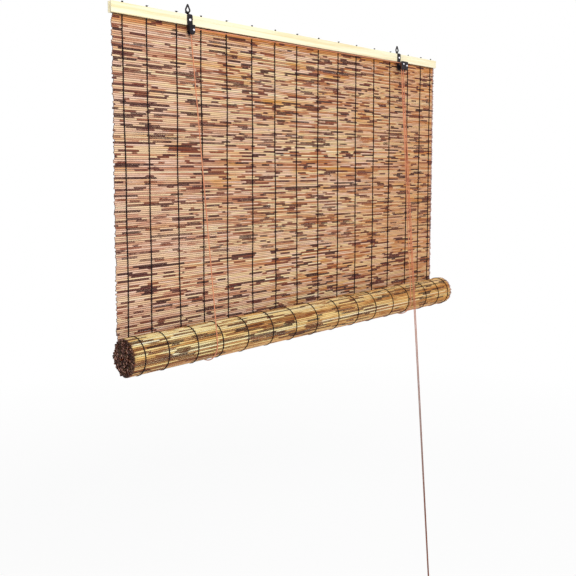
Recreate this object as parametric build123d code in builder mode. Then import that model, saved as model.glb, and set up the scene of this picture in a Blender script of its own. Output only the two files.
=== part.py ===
from build123d import *
import os
from math import acos, asin, atan2, cos, degrees, hypot, pi, radians, sin

# Reed roll-up blind. Millimetres, +X to the right seen from the front, -Y towards the viewer, +Z up.
# The origin lies midway between the two hanging eyes, at the height where a hook bears in them.

# Clearances
running_gap = 0.3
axle_clearance = 0.05
rivet_clearance = 0.1
plate_gap = 1.6

# Reed mat
mat_width = 1000.0
mat_thickness = 3.0
mat_web = 1.4
reed_pitch = 3.6
reed_crest_share = 0.45
hang_length = 617.0
gap_height = 0.9
gap_row_step = 7
gap_row_count = 24
gap_end_margin = 6.0
gap_span_step = 3

# Warp threads, with their places across the width as shares of it from the left edge
thread_shares = (0.020, 0.071, 0.137, 0.196, 0.260, 0.329, 0.396, 0.463,
                 0.533, 0.602, 0.668, 0.737, 0.802, 0.879, 0.936, 0.982)
thread_width = 1.2
thread_depth = 0.9
knot_radius = 1.7
knot_height = 2.2
knot_taper = 20.0
knot_setback = 2.8

# Head batten, two wooden strips
batten_overhang = 4.0
batten_height = 20.0
batten_strip = 4.5
batten_edge = 0.8
mat_top_gap = 1.5

# Roll
roll_radius = 38.0
turn_pitch = 4.6
core_radius = 3.0
roll_left_wander = 6.0
ring_sweep = 300.0
ring_segments = 15
ring_standoff = 0.6

# Cord
cord_diameter = 2.4

# Hangers
hanger_inset = 166.0
strap_width = 13.0
sheet = 1.2
strap_bend = 1.0
left_housing_drop = 19.0
right_housing_drop = 22.0
right_housing_width = 28.0
lobe_radius = 3.0
throat_width = 6.0
throat_height = 6.5
back_leg_drop = 7.0
anchor_drop = 3.6
anchor_inset = 3.5
anchor_clearance = 0.2
anchor_bend = 2.4
anchor_knot_radius = 2.6
anchor_knot_depth = 2.8

# Wire eyes
wire_diameter = 1.8
eye_inner_height = 12.0
eye_inner_width = 6.6
eye_tip_radius = 1.5
eye_collar_height = 4.7
eye_collar_radius = 2.2
eye_tail_length = 7.5
eye_tail_rise = 1.4
eye_tail_ball = 1.3

# Sheaves and rivets
sheave_pitch_radius = 3.8
sheave_rim_radius = 5.0
sheave_flange = 0.5
groove_side_clearance = 0.7
axle_radius = 0.9
axle_head_radius = 2.3
axle_head_height = 1.0
strap_rivet_radius = 1.5
strap_rivet_head_radius = 2.7
strap_rivet_head_height = 1.2
head_rounding = 0.7
left_axle_offset = 3.0
left_axle_drop = 9.5
right_axle_offset = 2.5
right_axle_drop = 6.8

# Locking cam, and the anvil that backs the cords
cam_pivot_offset = 14.0
cam_pivot_drop = 10.0
cam_hub_radius = 3.0
cam_growth = 2.2
cam_start = -25.0
cam_sweep = 95.0
cam_teeth = 9
cam_tooth_depth = 0.6
cam_tooth_lean = 0.7
anvil_width = 3.6
anvil_height = 7.0
anvil_below_rim = 1.0

# Lift cords and pull cords
left_lift_drift = 5.8
right_lift_drift = 26.7
pull_drop = 1329.0
pull_lean_left = 0.0483
pull_lean_forward = 0.1059
pull_knot_girth = 4.6
pull_knot_neck = 3.2
pull_knot_turn = 5.0
pull_knot_turns = 3
pull_tail_length = 22.0
pull_cord_half_spacing = 1.5

# Places worked out from the sizes above
cord_radius = cord_diameter / 2
half_mat = mat_thickness / 2
batten_face = half_mat + batten_strip
strap_front = batten_face + sheet
eye_rise = eye_inner_height + wire_diameter + eye_collar_height + sheet
strap_top = -eye_rise + sheet
batten_top = -eye_rise
batten_middle = batten_top - batten_height / 2
batten_bottom = batten_top - batten_height
batten_length = mat_width + 2 * batten_overhang
back_leg_bottom = batten_bottom - back_leg_drop
mat_top = batten_top - mat_top_gap
roll_z = batten_bottom - hang_length
roll_y = half_mat - roll_radius
cradle_radius = roll_radius + running_gap + cord_radius
thread_places = [mat_width * (share - 0.5) for share in thread_shares]
hanger_x = mat_width / 2 - hanger_inset
left_axle_x = left_axle_offset - hanger_x
left_axle_z = batten_bottom - left_axle_drop
right_axle_x = hanger_x + right_axle_offset
right_axle_z = batten_bottom - right_axle_drop
groove_half_width = cord_radius + groove_side_clearance
groove_root_radius = sheave_pitch_radius - cord_radius - running_gap
sheave_width = 2 * (groove_half_width + sheave_flange)
rear_sheave_depth = strap_front + running_gap + sheave_width / 2
front_sheave_depth = rear_sheave_depth + sheave_width + running_gap
left_plate_depth = rear_sheave_depth + sheave_width / 2 + plate_gap
right_plate_depth = front_sheave_depth + sheave_width / 2 + plate_gap
left_sheave_left = left_axle_x - sheave_pitch_radius
right_sheave_left = right_axle_x - sheave_pitch_radius
left_lift_x = left_sheave_left + left_lift_drift
right_lift_x = right_sheave_left - right_lift_drift
pull_x = right_axle_x + sheave_pitch_radius
left_edge = -hanger_x - strap_width / 2
right_edge = hanger_x - strap_width / 2 + right_housing_width
left_anchor_x = left_sheave_left
right_anchor_x = hanger_x - strap_width / 2 + anchor_inset


def save(piece, name):
    """Labels one finished piece and writes its file."""
    piece.part.label = name
    export_step(piece.part, f"parts/{name}.step")


def front_plane(depth):
    """The upright plane that faces the viewer, that far in front of the middle of the mat."""
    return Plane.XZ.offset(depth)


def side_plane(x):
    """The upright plane across the blind at x, with +Y as its own x and +Z as its own y."""
    return Plane.YZ.offset(x)


def tube(route):
    """Sweeps the cord's section along a finished line."""
    path = route.wire()
    with BuildSketch(Plane(origin=path @ 0, z_dir=path % 0)) as section:
        Circle(cord_radius)
    sweep(section.sketch, path=path)


def report(name, piece, route, bend):
    """Prints a cord's length and bend radius, and its volume against its section times its length."""
    length = route.wire().length
    share = piece.part.volume / (pi * cord_radius**2 * length)
    print(f"{name}: length {length:.1f}, bend radius {bend}, volume share {share:.4f}")


os.makedirs("parts", exist_ok=True)

# Reed mat: one ribbed wall, a ridge for each reed, with slits between some of the reeds
reed_count = round((mat_top - roll_z) / reed_pitch)
mat_pitch = (mat_top - roll_z - running_gap) / reed_count
crest_start = (1 - reed_crest_share) / 2
front_outline = []
for reed in range(reed_count):
    reed_top = mat_top - reed * mat_pitch
    front_outline.append((-mat_web / 2, reed_top))
    front_outline.append((-half_mat, reed_top - crest_start * mat_pitch))
    front_outline.append((-half_mat, reed_top - (1 - crest_start) * mat_pitch))
front_outline.append((-mat_web / 2, mat_top - reed_count * mat_pitch))
back_outline = [(-across, height) for across, height in reversed(front_outline)]
first_gap_reed = round((mat_top - batten_bottom) / mat_pitch) + 2
with BuildPart() as reed_mat:
    with BuildSketch(side_plane(-mat_width / 2)):
        with BuildLine():
            Polyline(*front_outline, *back_outline, close=True)
        make_face()
    extrude(amount=mat_width)
    with BuildSketch(front_plane(-mat_thickness)):
        for span in range(len(thread_places) - 1):
            gap_start = thread_places[span] + gap_end_margin
            gap_end = thread_places[span + 1] - gap_end_margin
            rows = range(span % gap_span_step, gap_row_count, gap_span_step)
            reeds_down = [first_gap_reed + row * gap_row_step for row in rows]
            with Locations(*[((gap_start + gap_end) / 2, mat_top - reed * mat_pitch) for reed in reeds_down]):
                Rectangle(gap_end - gap_start, gap_height)
        with Locations((-hanger_x, batten_middle), (hanger_x, batten_middle)):
            Circle(strap_rivet_radius + rivet_clearance)
    extrude(amount=2 * mat_thickness, mode=Mode.SUBTRACT)
save(reed_mat, "reed_mat")

# Head batten: two planed strips that clamp the top of the mat between them
for name, inner_depth, outward in (("head_batten_front", half_mat, 1), ("head_batten_back", -half_mat, -1)):
    with BuildPart() as strip:
        with BuildSketch(front_plane(inner_depth)):
            with Locations((0, batten_middle)):
                Rectangle(batten_length, batten_height)
            with Locations((-hanger_x, batten_middle), (hanger_x, batten_middle)):
                Circle(strap_rivet_radius + rivet_clearance, mode=Mode.SUBTRACT)
        extrude(amount=outward * batten_strip)
        long_edges = strip.edges().filter_by(Axis.X).sort_by(Axis.Y)
        fillet(long_edges[:2] if outward > 0 else long_edges[-2:], batten_edge)
    save(strip, name)

# Warp threads: the front and back strands that bind the reeds, from the batten down to the roll
thread_length = batten_bottom - roll_z - running_gap
for name, side in (("warp_threads_front", -1), ("warp_threads_back", 1)):
    with BuildPart() as strands:
        thread_y = side * (half_mat + thread_depth / 2)
        with Locations(*[(x, thread_y, batten_bottom - thread_length / 2) for x in thread_places]):
            Box(thread_width, thread_depth, thread_length)
    save(strands, name)

# Thread knots: each warp thread is tied off on the batten's top edge
with BuildPart() as knots:
    with BuildSketch(Plane.XY.offset(batten_top)):
        with Locations(*[(x, knot_setback - batten_face) for x in thread_places]):
            RegularPolygon(knot_radius, 6)
    extrude(amount=knot_height, taper=knot_taper)
save(knots, "thread_knots")


# Roll: the wound part of the mat, one spiral wall with a ridge for each reed
def crest_radius(angle):
    """The radius of the roll's crests, that angle along the winding from the back."""
    return roll_radius - turn_pitch * angle / (2 * pi)


def spiral_point(angle, inset):
    """A point of the roll's section, inset from its crests."""
    radius = crest_radius(angle) - inset
    return (roll_y + radius * cos(angle), roll_z - radius * sin(angle))


valley_inset = (mat_thickness - mat_web) / 2
outer_side = []
inner_side = []
winding = 0.0
rolled_reeds = 0
while crest_radius(winding) - mat_thickness > core_radius:
    turn = reed_pitch / (crest_radius(winding) - half_mat)
    outer_side.append(spiral_point(winding, valley_inset))
    outer_side.append(spiral_point(winding + crest_start * turn, 0))
    if winding < 2 * pi:
        outer_side.append(spiral_point(winding + (1 - crest_start) * turn, 0))
    if rolled_reeds % 2 == 0:
        inner_side.append(spiral_point(winding, mat_thickness))
    winding += turn
    rolled_reeds += 1
with BuildPart() as reed_roll:
    with BuildSketch(side_plane(-mat_width / 2 - roll_left_wander)):
        with BuildLine():
            Polyline(*outer_side, *reversed(inner_side), close=True)
        make_face()
    extrude(amount=mat_width + roll_left_wander)
save(reed_roll, "reed_roll")
print(f"mat: {mat_top - roll_z:.0f} hanging, {rolled_reeds * reed_pitch:.0f} rolled up")

# Thread rings: the warp threads where they go round the outside of the roll
ring_angles = [radians(ring_sweep) * step / ring_segments for step in range(ring_segments + 1)]
ring_inside = [spiral_point(angle, -ring_standoff) for angle in ring_angles]
ring_outside = [spiral_point(angle, -ring_standoff - thread_depth) for angle in ring_angles]
with BuildPart() as rings:
    for x in thread_places:
        with BuildSketch(side_plane(x - thread_width / 2)):
            with BuildLine():
                Polyline(*ring_inside, *reversed(ring_outside), close=True)
            make_face()
        extrude(amount=thread_width)
save(rings, "roll_thread_rings")


# Hangers: a folded strap over the batten, whose front leg goes on down as a housing
def strap_over_batten(center_x):
    """Adds the strap: a front leg, a bridge over the batten's top and a longer back leg."""
    with BuildSketch(side_plane(center_x - strap_width / 2)) as section:
        with BuildLine():
            Polyline((-strap_front, batten_bottom), (-strap_front, strap_top),
                     (strap_front, strap_top), (strap_front, back_leg_bottom),
                     (batten_face, back_leg_bottom), (batten_face, batten_top),
                     (-batten_face, batten_top), (-batten_face, batten_bottom), close=True)
        make_face()
        fillet(section.vertices().group_by(Axis.Y)[-1], strap_bend)
    extrude(section.sketch, amount=strap_width)


def cut_strap_holes(center_x, anchor_x):
    """Cuts the holes for the strap's rivet, the eye's peg and the lift cord's anchored end."""
    with BuildSketch(front_plane(-strap_front)) as rivet_hole:
        with Locations((center_x, batten_middle)):
            Circle(strap_rivet_radius + rivet_clearance)
    extrude(rivet_hole.sketch, amount=2 * strap_front, mode=Mode.SUBTRACT)
    with BuildSketch(front_plane(-strap_front)) as cord_hole:
        with Locations((anchor_x, batten_bottom - anchor_drop)):
            Circle(cord_radius + anchor_clearance)
    extrude(cord_hole.sketch, amount=sheet, mode=Mode.SUBTRACT)
    with BuildSketch(Plane.XY.offset(batten_top)) as peg_hole:
        with Locations((center_x, 0)):
            Circle(wire_diameter / 2 + rivet_clearance)
    extrude(peg_hole.sketch, amount=sheet, mode=Mode.SUBTRACT)


left_housing_bottom = batten_bottom - left_housing_drop
left_shoulder = left_housing_bottom + strap_width / 2
with BuildPart() as left_hanger:
    strap_over_batten(-hanger_x)
    for plate_depth in (batten_face, left_plate_depth):
        with BuildSketch(front_plane(plate_depth)):
            with BuildLine():
                Polyline((left_edge, left_shoulder), (left_edge, batten_bottom),
                         (left_edge + strap_width, batten_bottom), (left_edge + strap_width, left_shoulder))
                ThreePointArc((left_edge + strap_width, left_shoulder), (-hanger_x, left_housing_bottom),
                              (left_edge, left_shoulder))
            make_face()
            with Locations((left_axle_x, left_axle_z)):
                Circle(axle_radius + axle_clearance, mode=Mode.SUBTRACT)
        extrude(amount=sheet)
    # The web at the left is the fold that joins the two plates
    with BuildSketch(front_plane(batten_face)):
        with Locations((left_edge, batten_bottom)):
            Rectangle(sheet, batten_bottom - left_shoulder, align=(Align.MIN, Align.MAX))
    extrude(amount=left_plate_depth + sheet - batten_face)
    cut_strap_holes(-hanger_x, left_anchor_x)
save(left_hanger, "hanger_left")

cam_x = right_axle_x + cam_pivot_offset
cam_z = batten_bottom - cam_pivot_drop
right_housing_bottom = batten_bottom - right_housing_drop
anvil_top = right_axle_z - sheave_rim_radius - anvil_below_rim
anvil_bottom_lean = pull_lean_left * (right_axle_z - anvil_top + anvil_height)
anvil_right = pull_x - cord_radius - running_gap - anvil_bottom_lean
with BuildPart() as right_hanger:
    strap_over_batten(hanger_x)
    # Two wide plates hold both sheaves and the cam, with a throat for the cords between two lobes
    for plate_depth in (batten_face, right_plate_depth):
        with BuildSketch(front_plane(plate_depth)) as plate:
            with Locations((hanger_x - strap_width / 2, batten_bottom)):
                Rectangle(right_housing_width, right_housing_drop, align=(Align.MIN, Align.MAX))
            with Locations((pull_x, right_housing_bottom)):
                Rectangle(throat_width, throat_height, align=(Align.CENTER, Align.MIN), mode=Mode.SUBTRACT)
            fillet(plate.vertices().group_by(Axis.Y)[0], lobe_radius)
            with Locations((right_axle_x, right_axle_z), (cam_x, cam_z)):
                Circle(axle_radius + axle_clearance, mode=Mode.SUBTRACT)
        extrude(amount=sheet)
    # The web at the right joins the plates, and the anvil below the sheaves backs the cords
    with BuildSketch(front_plane(batten_face)):
        with Locations((right_edge, batten_bottom)):
            Rectangle(sheet, right_housing_drop - lobe_radius, align=(Align.MAX, Align.MAX))
        with Locations((anvil_right, anvil_top)):
            Rectangle(anvil_width, anvil_height, align=(Align.MAX, Align.MAX))
    extrude(amount=right_plate_depth + sheet - batten_face)
    cut_strap_holes(hanger_x, right_anchor_x)
save(right_hanger, "hanger_right")

# Wire eyes: a pointed loop on a wound collar, with the wire's end turned out to the left
loop_radius = (eye_inner_width + wire_diameter) / 2
loop_z = -eye_inner_height - wire_diameter / 2 + loop_radius
tip_z = wire_diameter / 2 - eye_tip_radius
side_tilt = degrees(asin((loop_radius - eye_tip_radius) / (tip_z - loop_z)))
for name, eye_x in (("eye_left", -hanger_x), ("eye_right", hanger_x)):
    with BuildPart() as eye:
        with BuildLine(Plane.XZ) as loop:
            bottom = CenterArc((eye_x, loop_z), loop_radius, side_tilt, -180 - 2 * side_tilt)
            tip = CenterArc((eye_x, tip_z), eye_tip_radius, 180 - side_tilt, 2 * side_tilt - 180)
            Line(bottom @ 1, tip @ 0)
            Line(tip @ 1, bottom @ 0)
        with BuildSketch(Plane(origin=bottom @ 0, z_dir=bottom % 0)):
            Circle(wire_diameter / 2)
        sweep(path=loop.wire())
        with BuildSketch(Plane.XY.offset(strap_top)):
            with Locations((eye_x, 0)):
                Circle(eye_collar_radius)
        extrude(amount=eye_collar_height + wire_diameter / 2)
        with BuildSketch(Plane.XY.offset(batten_top)):
            with Locations((eye_x, 0)):
                Circle(wire_diameter / 2)
        extrude(amount=sheet)
        with BuildSketch(side_plane(eye_x)):
            with Locations((0, strap_top + eye_tail_rise)):
                Circle(wire_diameter / 2)
        extrude(amount=-eye_tail_length)
        with Locations((eye_x - eye_tail_length, 0, strap_top + eye_tail_rise)):
            Sphere(eye_tail_ball)
    save(eye, name)


# Rivets: a shank with a rounded head closed on each end
def make_rivet(name, x, z, rear_depth, front_depth, shank_radius, head_radius, head_height):
    """Makes one rivet along Y, with its heads seated on the two outer faces."""
    with BuildPart() as rivet:
        with BuildSketch(front_plane(rear_depth)):
            with Locations((x, z)):
                Circle(shank_radius)
        extrude(amount=front_depth - rear_depth)
        for depth, outward in ((front_depth, 1), (rear_depth, -1)):
            with BuildSketch(front_plane(depth)):
                with Locations((x, z)):
                    Circle(head_radius)
            extrude(amount=outward * head_height)
        rim_edges = rivet.edges().filter_by(GeomType.CIRCLE).sort_by(Axis.Y)
        fillet((rim_edges[0], rim_edges[-1]), head_height * head_rounding)
    save(rivet, name)


for name, rivet_x in (("strap_rivet_left", -hanger_x), ("strap_rivet_right", hanger_x)):
    make_rivet(name, rivet_x, batten_middle, -strap_front, strap_front,
               strap_rivet_radius, strap_rivet_head_radius, strap_rivet_head_height)
for name, rivet_x, rivet_z, plate_depth in (
    ("sheave_axle_left", left_axle_x, left_axle_z, left_plate_depth),
    ("sheave_axle_right", right_axle_x, right_axle_z, right_plate_depth),
    ("cam_pivot", cam_x, cam_z, right_plate_depth),
):
    make_rivet(name, rivet_x, rivet_z, batten_face, plate_depth + sheet,
               axle_radius, axle_head_radius, axle_head_height)

# Sheaves: grooved wheels that carry the cord at their pitch radius
for name, sheave_x, sheave_z, depth in (
    ("sheave_left", left_axle_x, left_axle_z, rear_sheave_depth),
    ("sheave_right_rear", right_axle_x, right_axle_z, rear_sheave_depth),
    ("sheave_right_front", right_axle_x, right_axle_z, front_sheave_depth),
):
    bore = axle_radius + axle_clearance
    with BuildPart() as sheave:
        with BuildSketch(Plane(origin=(sheave_x, -depth, sheave_z), x_dir=(1, 0, 0), z_dir=(0, 0, 1))):
            with BuildLine():
                Polyline((sheave_pitch_radius, groove_half_width), (sheave_rim_radius, groove_half_width),
                         (sheave_rim_radius, sheave_width / 2), (bore, sheave_width / 2),
                         (bore, -sheave_width / 2), (sheave_rim_radius, -sheave_width / 2),
                         (sheave_rim_radius, -groove_half_width), (sheave_pitch_radius, -groove_half_width))
                ThreePointArc((sheave_pitch_radius, -groove_half_width),
                              (groove_root_radius, 0),
                              (sheave_pitch_radius, groove_half_width))
            make_face()
        revolve(axis=Axis((sheave_x, -depth, sheave_z), (0, 1, 0)))
    save(sheave, name)

# Locking cam: a toothed edge whose radius grows downwards, so that a slipping cord turns it tighter
grip_radius = cam_x - (pull_x + cord_radius) - running_gap
cam_top = radians(cam_start)
cam_end = radians(cam_start + cam_sweep)
cam_outline = []
for tooth in range(cam_teeth):
    for share, inset in ((0.0, cam_tooth_depth), (cam_tooth_lean, 0.0)):
        tooth_angle = cam_start + cam_sweep * (tooth + share) / cam_teeth
        tooth_radius = grip_radius + cam_growth * tooth_angle / cam_sweep - inset
        cam_outline.append((cam_x - tooth_radius * cos(radians(tooth_angle)),
                            cam_z - tooth_radius * sin(radians(tooth_angle))))
with BuildPart() as cam:
    with BuildSketch(front_plane(strap_front + running_gap)):
        with BuildLine():
            Polyline(*cam_outline,
                     (cam_x + cam_hub_radius * sin(cam_end), cam_z - cam_hub_radius * cos(cam_end)),
                     (cam_x - cam_hub_radius * sin(cam_top), cam_z + cam_hub_radius * cos(cam_top)),
                     close=True)
        make_face()
        with Locations((cam_x, cam_z)):
            Circle(cam_hub_radius)
            Circle(axle_radius + axle_clearance, mode=Mode.SUBTRACT)
    extrude(amount=right_plate_depth - strap_front - 2 * running_gap)
save(cam, "locking_cam")


# Lift cords: down behind the mat, under the roll, up its front and over the sheaves
def leaving_angle(depth, axle_z):
    """The direction from the roll's middle to where the cord leaves it, from +Y towards +Z."""
    across = -depth - roll_y
    up = axle_z - roll_z
    return degrees(atan2(up, across) + acos(cradle_radius / hypot(across, up)))


back_run_y = roll_y + cradle_radius
anchor_z = batten_bottom - anchor_drop
for side, lift_x, anchor_x, sheave_x, depth, axle_z in (
    ("left", left_lift_x, left_anchor_x, left_sheave_left, rear_sheave_depth, left_axle_z),
    ("right", right_lift_x, right_anchor_x, right_sheave_left, front_sheave_depth, right_axle_z),
):
    leaving = leaving_angle(depth, axle_z)
    with BuildPart() as bight:
        with BuildLine(side_plane(lift_x)) as under_roll:
            CenterArc((roll_y, roll_z), cradle_radius, 0, leaving - 360)
        tube(under_roll)
    save(bight, f"lift_cord_{side}_bight")
    report(f"lift_cord_{side}_bight", bight, under_roll, cradle_radius)

    start = Vector(lift_x, roll_y + cradle_radius * cos(radians(leaving)),
                   roll_z + cradle_radius * sin(radians(leaving)))
    end = Vector(sheave_x, -depth, axle_z)
    along = (end - start).normalized() * running_gap
    with BuildPart() as front_run:
        with BuildLine() as rising:
            Line(start + along, end - along)
        tube(rising)
    save(front_run, f"lift_cord_{side}_front")
    report(f"lift_cord_{side}_front", front_run, rising, "none")

    with BuildPart() as back_run:
        with BuildLine() as falling:
            FilletPolyline((anchor_x, strap_front, anchor_z), (anchor_x, back_run_y, anchor_z),
                           (lift_x, back_run_y, roll_z + running_gap), radius=anchor_bend)
        tube(falling)
    save(back_run, f"lift_cord_{side}_back")
    report(f"lift_cord_{side}_back", back_run, falling, anchor_bend)

    with BuildPart() as anchor_knot:
        with BuildSketch(front_plane(-strap_front)):
            with Locations((anchor_x, anchor_z)):
                Circle(anchor_knot_radius)
        extrude(amount=-anchor_knot_depth)
        outer_rim = anchor_knot.edges().filter_by(GeomType.CIRCLE).sort_by(Axis.Y)[-1]
        fillet(outer_rim, anchor_knot_depth * head_rounding)
    save(anchor_knot, f"anchor_knot_{side}")

# Transfer cord: over the left sheave and along below the batten to the rear sheave at the right
slope = degrees(atan2(right_axle_z - left_axle_z, right_axle_x - left_axle_x))
with BuildPart() as transfer:
    with BuildLine(front_plane(rear_sheave_depth)) as crossing:
        over_left = CenterArc((left_axle_x, left_axle_z), sheave_pitch_radius, 180, slope - 90)
        over_right = CenterArc((right_axle_x, right_axle_z), sheave_pitch_radius, 90 + slope, -90 - slope)
        Line(over_left @ 1, over_right @ 0)
    tube(crossing)
save(transfer, "transfer_cord")
report("transfer_cord", transfer, crossing, sheave_pitch_radius)

# Wrap of the right lift cord over the front sheave
with BuildPart() as wrap:
    with BuildLine(front_plane(front_sheave_depth)) as over:
        CenterArc((right_axle_x, right_axle_z), sheave_pitch_radius, 180, -180)
    tube(over)
save(wrap, "lift_cord_right_wrap")
report("lift_cord_right_wrap", wrap, over, sheave_pitch_radius)

# Pull cords: held straight, from the right-hand sheaves down to the knot that joins them
pull_direction = Vector(-pull_lean_left, -pull_lean_forward, -1).normalized()
knot_top = Vector(pull_x - pull_lean_left * pull_drop, -front_sheave_depth - pull_lean_forward * pull_drop,
                  right_axle_z - pull_drop)
for name, depth, side in (
    ("pull_cord_front", front_sheave_depth, 1),
    ("pull_cord_rear", rear_sheave_depth, -1),
):
    start = Vector(pull_x, -depth, right_axle_z)
    end = knot_top + Vector(side * pull_cord_half_spacing, 0, 0)
    along = (end - start).normalized() * running_gap
    with BuildPart() as pull_cord:
        with BuildLine() as hanging:
            Line(start + along, end - along)
        tube(hanging)
    save(pull_cord, name)
    report(name, pull_cord, hanging, "none")

# Pull knot: the two cords tied together, with their tails below
knot_length = pull_knot_turn * pull_knot_turns
knot_plane = Plane(origin=knot_top, x_dir=(1, 0, 0), z_dir=pull_direction)
side_of_knot = Plane(origin=knot_top, x_dir=knot_plane.x_dir, z_dir=-knot_plane.y_dir)
with BuildPart() as pull_knot:
    with BuildSketch(side_of_knot):
        with BuildLine():
            for coil in range(pull_knot_turns):
                coil_start = coil * pull_knot_turn
                coil_end = coil_start + pull_knot_turn
                ThreePointArc((pull_knot_neck, coil_start),
                              (pull_knot_girth, (coil_start + coil_end) / 2),
                              (pull_knot_neck, coil_end))
            Polyline((pull_knot_neck, knot_length), (0, knot_length), (0, 0), (pull_knot_neck, 0))
        make_face()
    revolve(axis=Axis(knot_top, pull_direction))
    with BuildSketch(knot_plane.offset(knot_length)):
        with Locations((-pull_cord_half_spacing, 0), (pull_cord_half_spacing, 0)):
            Circle(cord_radius)
    extrude(amount=pull_tail_length)
save(pull_knot, "pull_knot")
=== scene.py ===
"""Dresses the reed roll up blind: reeds, binding threads, batten, metal hangers and rope cords."""

import logging
import math
from dataclasses import dataclass
from enum import Enum
from typing import Optional, Sequence

import bmesh
import bpy
import numpy as np
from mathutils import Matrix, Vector


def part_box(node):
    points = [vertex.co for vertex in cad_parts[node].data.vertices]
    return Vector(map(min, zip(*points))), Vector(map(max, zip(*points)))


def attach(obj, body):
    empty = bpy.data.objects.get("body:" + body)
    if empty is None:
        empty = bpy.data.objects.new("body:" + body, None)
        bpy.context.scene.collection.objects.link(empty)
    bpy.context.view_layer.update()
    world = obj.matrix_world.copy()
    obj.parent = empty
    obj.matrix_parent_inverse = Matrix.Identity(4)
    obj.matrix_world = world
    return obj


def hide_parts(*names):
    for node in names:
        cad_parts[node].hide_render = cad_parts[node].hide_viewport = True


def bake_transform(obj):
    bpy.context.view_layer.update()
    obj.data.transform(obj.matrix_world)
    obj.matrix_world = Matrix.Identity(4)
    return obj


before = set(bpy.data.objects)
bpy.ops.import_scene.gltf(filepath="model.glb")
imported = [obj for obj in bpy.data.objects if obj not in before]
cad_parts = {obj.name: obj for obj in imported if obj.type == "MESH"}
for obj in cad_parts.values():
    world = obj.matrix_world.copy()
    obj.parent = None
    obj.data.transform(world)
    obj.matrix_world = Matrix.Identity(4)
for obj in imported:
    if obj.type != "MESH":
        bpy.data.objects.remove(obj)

LOG = logging.getLogger("reed_blind")
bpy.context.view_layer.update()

Colour = tuple[int, int, int]
Stops = tuple[tuple[float, Colour], ...]
Place = tuple[float, float, float]
Route = tuple[Place, ...]
Socket = bpy.types.NodeSocket
Material = bpy.types.Material
Piece = bpy.types.Object

LAST_PHASE = 6.28
WELD_DISTANCE = 0.000005


class Side(Enum):
    """Which face of the mat a set of threads lies on."""

    FRONT = -1.0
    BACK = 1.0


class ReedZone(Enum):
    """Which part of a reed's surface a point belongs to."""

    SKIN = 0.0
    CUT_RIM = 1.0
    HOLLOW = 2.0


class Measure(Enum):
    """What a change of the reeds' tone follows."""

    ACROSS = "place along the blind"
    DRIFT = "place along the blind, with a wandering edge"
    HEIGHT = "height"
    ROW = "row from the mat's top"


@dataclass(frozen=True)
class BlindSizes:
    """Sizes and places of the whole blind, in metres, shared by its sub-assemblies."""

    half_width: float = 0.5
    reed_pitch: float = 0.0036
    batten_top: float = -0.0197
    batten_bottom: float = -0.0397
    roll_y: float = -0.0365
    roll_z: float = -0.6567
    roll_radius: float = 0.038
    turn_pitch: float = 0.0046
    core_radius: float = 0.003
    mat_thickness: float = 0.003
    lowest_point: float = -1.412
    thread_shares: tuple[float, ...] = (
        0.020, 0.071, 0.137, 0.196, 0.260, 0.329, 0.396, 0.463,
        0.533, 0.602, 0.668, 0.737, 0.802, 0.879, 0.936, 0.982,
    )

    def thread_places(self) -> list[float]:
        """Gives the X where each binding thread crosses the mat."""
        return [2 * self.half_width * (share - 0.5) for share in self.thread_shares]

    def crest_radius(self, angle: float) -> float:
        """Gives the roll's outer radius after an angle of winding, in radians from the back."""
        return self.roll_radius - self.turn_pitch * angle / math.tau

    def roll_point(self, x: float, angle: float, radius: float) -> Place:
        """Gives the point at an angle of winding and a distance from the roll's middle."""
        return (x, self.roll_y + radius * math.cos(angle), self.roll_z - radius * math.sin(angle))


SIZES = BlindSizes()


def paint(colour: Colour) -> tuple[float, float, float, float]:
    """Turns a paint colour into the renderer's linear light.

    Args:
        colour: Red, green and blue, from 0 to 255.

    Returns:
        The linear colour with full alpha.
    """
    def linear(level: int) -> float:
        """Makes one channel linear."""
        share = level / 255
        return share / 12.92 if share <= 0.04045 else ((share + 0.055) / 1.055) ** 2.4

    return (linear(colour[0]), linear(colour[1]), linear(colour[2]), 1.0)


def linked(name: str, data: bpy.types.ID) -> Piece:
    """Makes an object and puts it in the scene.

    Args:
        name: The object's name.
        data: Its mesh, curve, camera or lamp.

    Returns:
        The object.
    """
    made = bpy.data.objects.new(name, data)
    bpy.context.scene.collection.objects.link(made)
    return made


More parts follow.
